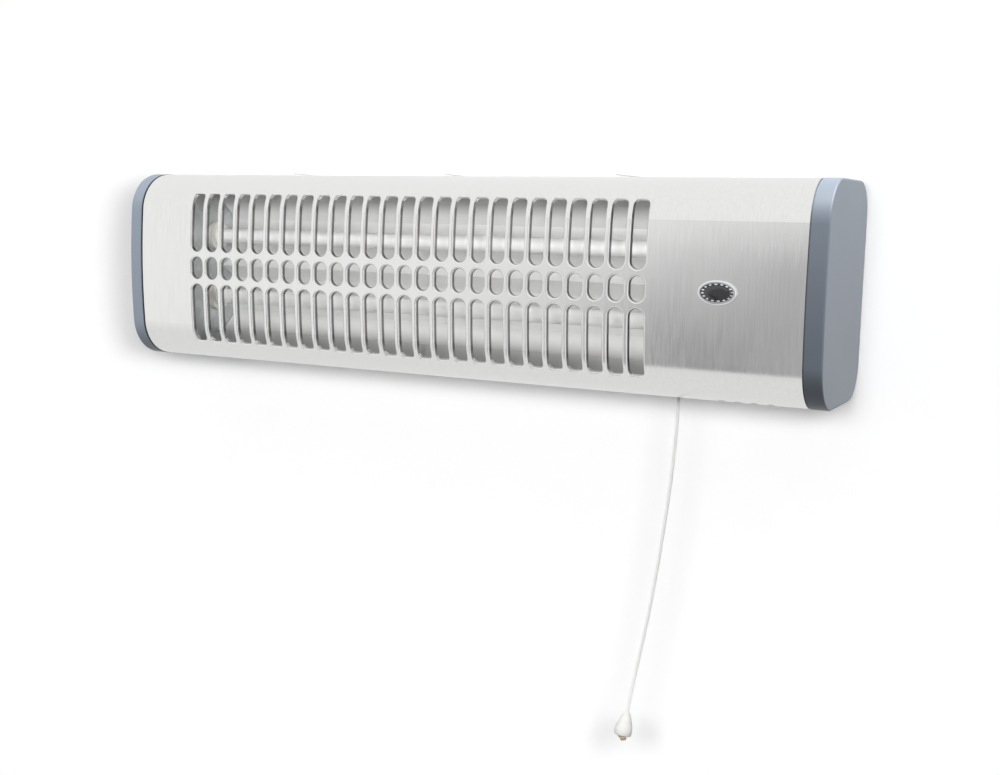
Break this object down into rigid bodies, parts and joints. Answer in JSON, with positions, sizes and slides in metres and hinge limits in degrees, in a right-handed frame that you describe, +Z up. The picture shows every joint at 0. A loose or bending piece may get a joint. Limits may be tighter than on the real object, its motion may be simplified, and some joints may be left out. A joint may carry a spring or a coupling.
{
  "type": "bathroom quartz heater",
  "caption": "Wall-hung bathroom heater: slotted steel front over quartz tubes, plastic end caps, oval indicator lamp and a pull-cord switch with a rack-driven rotor.",
  "frame": {"origin": "middle of the wall bracket's two screw holes, on the wall's surface", "axes": "+X along the heater towards the switch end, +Y into the wall, +Z up"},
  "size_m": [0.48, 0.093, 0.3382],
  "materials": {
    "stainless": "satin, brushed across its height",
    "cap_plastic": "fine moulded texture",
    "zinc_sheet": "galvanised",
    "reflector_sheet": "bright",
    "screw_steel": "zinc plated",
    "quartz": "frosted",
    "coil_wire": "oxidised",
    "ceramic": "unglazed",
    "brass": "plain",
    "dark_plastic": "moulded",
    "switch_plastic": "moulded",
    "spring_steel": "bright drawn",
    "white_plastic": "polished",
    "grommet_rubber": "matt",
    "cord_braid": "braided",
    "knot_braid": "braided, yellowed",
    "bezel_chrome": "polished",
    "smoked_lens": "smoked, clear",
    "neon_glass": "clear",
    "terminal_nylon": "moulded",
    "wire_brown": "silicone sleeve",
    "wire_white": "silicone sleeve",
    "wire_blue": "silicone sleeve"
  },
  "bodies": {
    "wall_bracket": {"wall_bracket": "zinc_sheet"},
    "heater": {"front_shell": "stainless", "end_cap_left": "cap_plastic", "end_cap_right": "cap_plastic", "back_plate": "zinc_sheet", "tube_bracket_left": "zinc_sheet", "tube_bracket_right": "zinc_sheet", "switch_bracket": "zinc_sheet", "reflector": "reflector_sheet", "shell_screws": "screw_steel", "cap_screws": "screw_steel", "bracket_screws": "screw_steel", "switch_screws": "screw_steel", "terminal_screws": "screw_steel", "earth_screw": "screw_steel", "quartz_tube_upper": "quartz", "quartz_tube_lower": "quartz", "heating_coil_upper": "coil_wire", "heating_coil_lower": "coil_wire", "ceramic_upper_left": "ceramic", "ceramic_upper_right": "ceramic", "ceramic_lower_left": "ceramic", "ceramic_lower_right": "ceramic", "tube_terminals": "brass", "link_strip": "brass", "fixed_contacts": "brass", "thermal_cutout": "dark_plastic", "indicator_holder": "dark_plastic", "switch_body": "switch_plastic", "switch_cover": "switch_plastic", "return_spring": "spring_steel", "rotor_axle": "spring_steel", "cord_guide": "white_plastic", "inlet_grommet": "grommet_rubber", "indicator_bezel": "bezel_chrome", "indicator_lens": "smoked_lens", "neon_lamp": "neon_glass", "terminal_block": "terminal_nylon", "wire_live": "wire_brown", "wire_switched": "wire_brown", "wire_upper_tube": "wire_white", "wire_lamp": "wire_white", "wire_neutral": "wire_blue"},
    "pull": {"pull_plunger": "switch_plastic", "pull_cord": "cord_braid", "pull_bell": "white_plastic", "cord_knot": "knot_braid"},
    "rotor": {"switch_rotor": "switch_plastic", "moving_contact": "brass"}
  },
  "joints": [
    {"name": "lift_off", "type": "slide", "parent": "wall_bracket", "child": "heater", "axis": [0, 0, 1], "range_m": [0, 0.009]},
    {"name": "cord_pull", "type": "slide", "parent": "heater", "child": "pull", "axis": [0, 0, -1], "range_m": [0, 0.00825], "stiffness_N_per_m": 60, "springref_m": -0.008, "deforming": ["return_spring"]},
    {"name": "ratchet_turn", "type": "hinge", "parent": "heater", "child": "rotor", "pos_m": [0.15895, -0.058, -0.0425], "axis": [0, -1, 0], "range_deg": [0, 90.5]}
  ],
  "couplings": [
    {"joint": "ratchet_turn", "follows": "cord_pull", "rad_per_m": 190.48}
  ]
}
